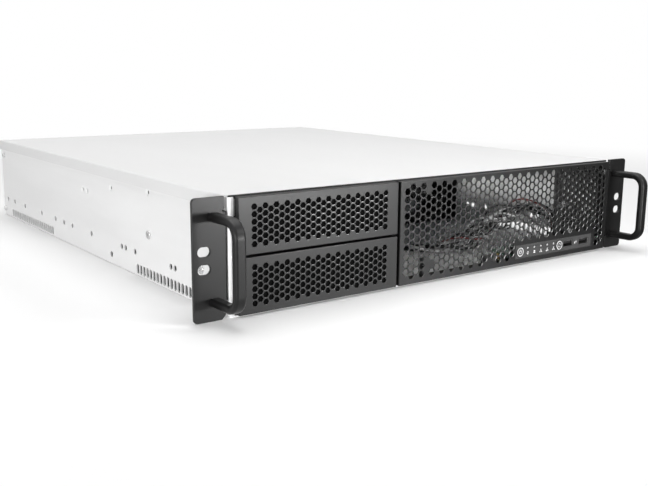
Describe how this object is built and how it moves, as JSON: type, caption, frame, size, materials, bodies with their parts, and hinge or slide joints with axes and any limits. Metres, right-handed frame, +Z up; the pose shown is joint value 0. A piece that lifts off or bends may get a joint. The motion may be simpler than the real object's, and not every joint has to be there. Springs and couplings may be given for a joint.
{
  "type": "empty rackmount server case",
  "caption": "Low rack case with hexagon-pierced black front panels, two drive bay covers, a control strip, side ears with pull handles and a light grey sheet-metal body.",
  "frame": {"origin": "middle of the whole object's footprint, on the surface that the case stands on", "axes": "+Y runs from the front panels to the rear panel, +Z up from the floor, +X to the right seen from the front"},
  "size_m": [0.4826, 0.5656, 0.0881],
  "materials": {
    "galvanised": "zinc-coated sheet, satin with faint spangle",
    "lid_sheet": "smooth light grey zinc-coated sheet, matt",
    "black_coat": "fine matt black powder coat",
    "frame_coat": "matt black paint",
    "handle_coat": "satin black coat",
    "zinc_screw": "bright zinc plate",
    "black_screw": "black oxide",
    "fan_plastic": "moulded black plastic",
    "foam": "open-cell black foam",
    "fascia": "fine textured dark grey plastic",
    "button": "satin grey plastic",
    "lens": "clear milky lens",
    "usb_shell": "tin-plated steel",
    "socket_plastic": "black plastic",
    "pcb": "green solder mask",
    "switch": "black plastic",
    "wire": "vinyl insulated wires",
    "clip": "natural nylon",
    "brass": "turned brass"
  },
  "bodies": {
    "case": {"board_standoffs": "brass", "cage_rivets": "zinc_screw", "chassis_tub": "galvanised", "control_board": "pcb", "control_board_screws": "zinc_screw", "control_board_standoffs": "brass", "control_fascia": "fascia", "drive_cage": "frame_coat", "drive_cage_screws": "zinc_screw", "ear_screws": "zinc_screw", "fan_frame_1": "fan_plastic", "fan_frame_2": "fan_plastic", "fan_frame_3": "fan_plastic", "fan_screws": "black_screw", "fan_wall": "frame_coat", "front_frame": "frame_coat", "front_lead": "wire", "grille_panel": "black_coat", "grille_screws": "zinc_screw", "grille_standoffs": "zinc_screw", "handle_left": "handle_coat", "handle_right": "handle_coat", "handle_screws": "black_screw", "inner_guard": "frame_coat", "lead_clips": "clip", "lead_plug_front": "socket_plastic", "lead_plug_rear": "socket_plastic", "power_switch": "switch", "rack_ear_left": "black_coat", "rack_ear_right": "black_coat", "rear_panel": "galvanised", "rear_panel_screws": "zinc_screw", "reset_switch": "switch", "side_rivets": "zinc_screw", "slot_cover_1": "galvanised", "slot_cover_2": "galvanised", "slot_cover_3": "galvanised", "slot_cover_4": "galvanised", "slot_cover_5": "galvanised", "slot_cover_6": "galvanised", "slot_cover_7": "galvanised", "slot_rail": "galvanised", "slot_screws": "zinc_screw", "status_leds": "lens", "usb_socket_left": "usb_shell", "usb_socket_right": "usb_shell", "usb_tongue_left": "socket_plastic", "usb_tongue_right": "socket_plastic"},
    "lid": {"top_cover": "lid_sheet", "lid_screws": "zinc_screw"},
    "cover_upper": {"bay_cover_upper": "black_coat", "dust_filter_upper": "foam"},
    "cover_lower": {"bay_cover_lower": "black_coat", "dust_filter_lower": "foam"},
    "power_key": {"power_button": "button"},
    "reset_key": {"reset_button": "button"},
    "rotor_1": {"fan_rotor_1": "fan_plastic"},
    "rotor_2": {"fan_rotor_2": "fan_plastic"},
    "rotor_3": {"fan_rotor_3": "fan_plastic"}
  },
  "joints": [
    {"name": "lid_slide", "type": "slide", "parent": "case", "child": "lid", "axis": [0, 1, 0], "range_m": [0, 0.02]},
    {"name": "cover_upper_pull", "type": "slide", "parent": "case", "child": "cover_upper", "axis": [0, -1, 0], "range_m": [0, 0.02]},
    {"name": "cover_lower_pull", "type": "slide", "parent": "case", "child": "cover_lower", "axis": [0, -1, 0], "range_m": [0, 0.02]},
    {"name": "power_press", "type": "slide", "parent": "case", "child": "power_key", "axis": [0, 1, 0], "range_m": [0, 0.0008], "stiffness_N_per_m": 1500},
    {"name": "reset_press", "type": "slide", "parent": "case", "child": "reset_key", "axis": [0, 1, 0], "range_m": [0, 0.0008], "stiffness_N_per_m": 1500},
    {"name": "rotor_1_spin", "type": "hinge", "parent": "case", "child": "rotor_1", "pos_m": [-0.01175, -0.01875, 0.0424], "axis": [0, 1, 0], "continuous": true},
    {"name": "rotor_2_spin", "type": "hinge", "parent": "case", "child": "rotor_2", "pos_m": [0.07625, -0.01875, 0.0424], "axis": [0, 1, 0], "continuous": true},
    {"name": "rotor_3_spin", "type": "hinge", "parent": "case", "child": "rotor_3", "pos_m": [0.16425, -0.01875, 0.0424], "axis": [0, 1, 0], "continuous": true}
  ]
}
